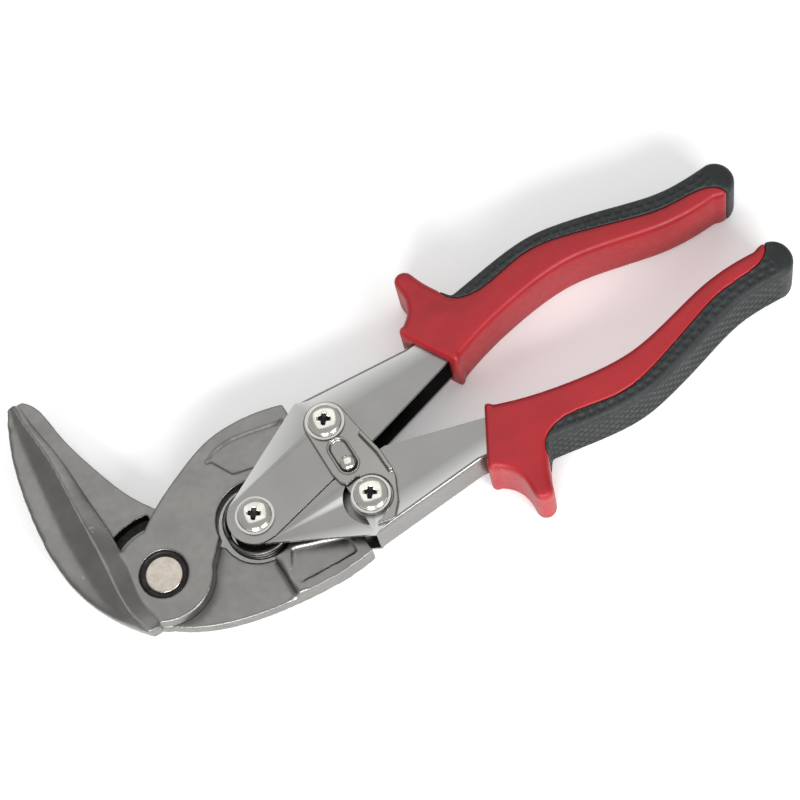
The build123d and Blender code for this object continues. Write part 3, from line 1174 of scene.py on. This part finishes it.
@dataclass
class PivotDisc:
    """Peened head of the jaw pivot with its shank."""

    node: str = "jaw_pivot_bolt"
    shank: float = 5.0 * MM
    chamfer: float = 0.6 * MM
    head: float = 6.1 * MM
    head_thick: float = 1.0 * MM
    crown: float = 0.12 * MM
    crown_share: float = 0.93
    crown_rings: int = 8
    edge: float = 0.45 * MM
    steps: int = 96
    crease: float = 40.0
    finish: Finish = PeenedNickel()

    def build(self) -> bpy.types.Object:
        """Spin the pivot with a low crown and dress it.

        Returns:
            The finished pivot.
        """
        low, high = node_box(self.node)
        shares = [ring / self.crown_rings for ring in range(self.crown_rings + 1)]
        crown = [(self.head * self.crown_share * share, high.z - self.crown * share ** 2)
                 for share in shares]
        corner = [(self.head - self.edge * (1 - math.sin(angle)),
                   high.z - self.crown - self.edge * (1 - math.cos(angle)))
                  for angle in (math.pi / 6, math.pi / 3, math.pi / 2)]
        seat = high.z - self.head_thick
        bm = turned_piece([*crown, *corner, (self.head, seat), (self.shank, seat),
                           (self.shank, low.z + self.chamfer),
                           (self.shank - self.chamfer, low.z), (0.0, low.z)],
                          axis_of(self.node), self.steps)
        obj = as_object("jaw_pivot_peened", bm, self.crease)
        return place(obj, "upper_jaw_body", "pivot_steel", self.finish, (self.node,))


# Latch
@dataclass
class Latch:
    """Thumb latch: pressed plate with an embossed slot, thumb ridge and domed knob."""

    voxel: float = 0.25 * MM
    slot_centre: Plan = (68.2, 1.6)
    slot_half_length: float = 3.2
    slot_half_width: float = 2.9
    slot_depth: float = 0.75
    slot_wall: Span = (0.15, -0.35)
    slot_reach: float = 1.2
    lip: float = 0.3
    lip_centre: float = 0.45
    lip_half: float = 0.1
    lip_soft: float = 0.35
    plate_top: float = 9.2
    plate_skin: float = 0.25
    plate_facing: float = 0.3
    edge_rounds: int = 4
    knob_step: int = 6
    knob_dot: float = 0.35 * MM
    knob_dot_rim: float = 0.3 * MM
    knob_dot_share: float = 0.09
    knob_steps: int = 64
    knob_crease: float = 50.0
    finish: Finish = BrushedPlate(name="latch_plate_metal", colour=(0.33, 0.322, 0.308),
                                  shade=(0.29, 0.283, 0.27), turn=90.0)
    knob_finish: Finish = BrightChrome()

    def slot_distance(self, co: Vector) -> float:
        """Measure from the slot's outline.

        Args:
            co: Point in metres.

        Returns:
            Signed distance in millimetres, negative inside the slot.
        """
        x, y = co.x / MM - self.slot_centre[0], co.y / MM - self.slot_centre[1]
        y -= max(-self.slot_half_length, min(self.slot_half_length, y))
        return math.hypot(x, y) - self.slot_half_width

    def shape(self) -> bpy.types.Object:
        """Press the slot and its lip into the plate.

        Returns:
            The plate, undressed.
        """
        clay = Clay("latch_plate", self.voxel)
        clay.smooth(self.edge_rounds)
        middle = middle_height()

        def pressed(co: Vector, normal: Vector) -> Vector | None:
            """Sink the slot's floor and raise a thin lip round it."""
            off_top = abs((co.z - middle) / MM - self.plate_top) > self.plate_skin
            distance = self.slot_distance(co)
            if distance > self.slot_reach or off_top or normal.z < self.plate_facing:
                return None
            sink = self.slot_depth * ease(*self.slot_wall, distance)
            raised = self.lip * bump_profile(self.lip_centre, self.lip_half, self.lip_soft,
                                             distance)
            return Vector((0, 0, (raised - sink) * MM))

        clay.draw(pressed)
        clay.smooth(1)
        return clay.finish("latch_plate_pressing")

    def knob(self) -> bpy.types.Object:
        """Spin the domed knob with a small centre dot.

        Returns:
            The knob, undressed.
        """
        low, high = node_box("latch_knob")
        radius = (high.x - low.x) / 2
        rise = high.z - low.z
        dome = [(radius * math.sin(math.radians(angle)),
                 low.z + rise * math.cos(math.radians(angle)))
                for angle in range(0, 91, self.knob_step)]
        dome[0] = (0.0, high.z - self.knob_dot)
        dome.insert(1, (radius * self.knob_dot_share, high.z - self.knob_dot_rim))
        bm = turned_piece([*dome, (0.0, low.z)], axis_of("latch_knob"), self.knob_steps)
        return as_object("latch_knob_dome", bm, self.knob_crease)

    def build(self) -> list[bpy.types.Object]:
        """Shape and dress the plate and the knob."""
        return [
            place(self.shape(), "latch_body", "latch_steel", self.finish, ("latch_plate",)),
            place(self.knob(), "latch_body", "bright_bolts", self.knob_finish, ("latch_knob",)),
        ]


# CAD nodes that keep their shape
@dataclass
class PlainHardware:
    """CAD nodes whose shape is already right: they only get their finishes."""

    plated: tuple[str, ...] = tuple(
        f"{bolt}_{part}" for bolt in ("upper_link", "lower_link", "handle_pivot")
        for part in ("collar", "washer", "nut"))
    peened: tuple[str, ...] = (
        "jaw_pivot_washer", "jaw_pivot_nut", "upper_link_spacer", "lower_link_spacer")
    oiled: tuple[str, ...] = ("return_spring",)
    plated_finish: Finish = BrushedPlate(name="collar_metal", colour=(0.42, 0.40, 0.375),
                                         shade=(0.35, 0.337, 0.315))
    peened_finish: Finish = PeenedNickel()
    oiled_finish: Finish = SPRING_WIRE

    def build(self) -> None:
        """Assign a finish to every carried-over node."""
        for names, finish in ((self.plated, self.plated_finish), (self.peened, self.peened_finish),
                              (self.oiled, self.oiled_finish)):
            for name in names:
                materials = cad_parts[name].data.materials
                materials.clear()
                materials.append(finish.material())
                log.info("%s keeps its CAD shape", name)


# Studio
@dataclass(frozen=True)
class Softbox:
    """One square area light aimed at the tool."""

    name: str
    place: Triple
    size: float
    power: float

    def build(self, aim: Vector) -> None:
        """Hang the light and aim it.

        Args:
            aim: Point that it faces.
        """
        light = bpy.data.lights.new(self.name, "AREA")
        light.size = self.size
        light.energy = self.power
        obj = bpy.data.objects.new(self.name, light)
        bpy.context.scene.collection.objects.link(obj)
        obj.location = self.place
        obj.rotation_euler = (aim - Vector(self.place)).to_track_quat("-Z", "Y").to_euler()


@dataclass
class Studio:
    """White sweep, soft light and the camera."""

    camera_place: Triple = (0.02128, -0.28284, 0.75103)
    camera_turn: Triple = (21.296, 6.7785, -30.7307)
    lens: float = 110.64
    sensor: float = 36.0
    world: float = 0.42
    floor_half: float = 3.0
    floor_colour: Colour = (0.93, 0.93, 0.93)
    floor_roughness: float = 0.85
    floor_glow: float = 0.22
    lights: tuple[Softbox, ...] = (
        Softbox("overhead_softbox", (0.22, 0.42, 0.95), 1.2, 3.6),
        Softbox("front_left_softbox", (-0.34, -0.62, 0.46), 0.34, 5.0),
        Softbox("front_right_softbox", (0.26, -0.75, 0.46), 0.34, 5.0),
    )

    def camera(self) -> None:
        """Set the camera."""
        data = bpy.data.cameras.new("camera")
        data.lens = self.lens
        data.sensor_width = self.sensor
        obj = bpy.data.objects.new("camera", data)
        obj.location = self.camera_place
        obj.rotation_euler = Euler([math.radians(a) for a in self.camera_turn])
        bpy.context.scene.collection.objects.link(obj)
        bpy.context.scene.camera = obj

    def floor(self) -> None:
        """Lay the pale floor."""
        bm = bmesh.new()
        bmesh.ops.create_grid(bm, x_segments=1, y_segments=1, size=self.floor_half)
        obj = as_object("floor", bm)
        graph = Graph("white_sweep")
        graph.shader.inputs["Base Color"].default_value = (*self.floor_colour, 1)
        graph.shader.inputs["Roughness"].default_value = self.floor_roughness
        graph.shader.inputs["Emission Color"].default_value = (1, 1, 1, 1)
        graph.shader.inputs["Emission Strength"].default_value = self.floor_glow
        obj.data.materials.append(graph.material)

    def build(self) -> None:
        """Camera, floor, world and lights."""
        self.camera()
        self.floor()
        world = bpy.data.worlds.new("studio")
        bpy.context.scene.world = world
        world.use_nodes = True
        background = world.node_tree.nodes["Background"]
        background.inputs["Color"].default_value = (1, 1, 1, 1)
        background.inputs["Strength"].default_value = self.world
        low, high = CAD_BOX
        for light in self.lights:
            light.build((low + high) / 2)
        bpy.context.scene.view_settings.view_transform = "Standard"


def main() -> None:
    """Build every sub-assembly around the frame."""
    logging.basicConfig(level=logging.INFO, format="%(message)s")
    Studio().build()
    UpperJaw().build()
    LowerJaw().build()
    for side in Side:
        Handle(side).build()
        Grip(side).build()
    for node, body in (("upper_link_bolt", "upper_jaw_body"), ("lower_link_bolt", "lower_jaw_body"),
                       ("handle_pivot_bolt", "upper_handle_body")):
        PanHeadBolt(node, body).build()
    PivotDisc().build()
    Latch().build()
    PlainHardware().build()


if __name__ == "__main__":
    main()
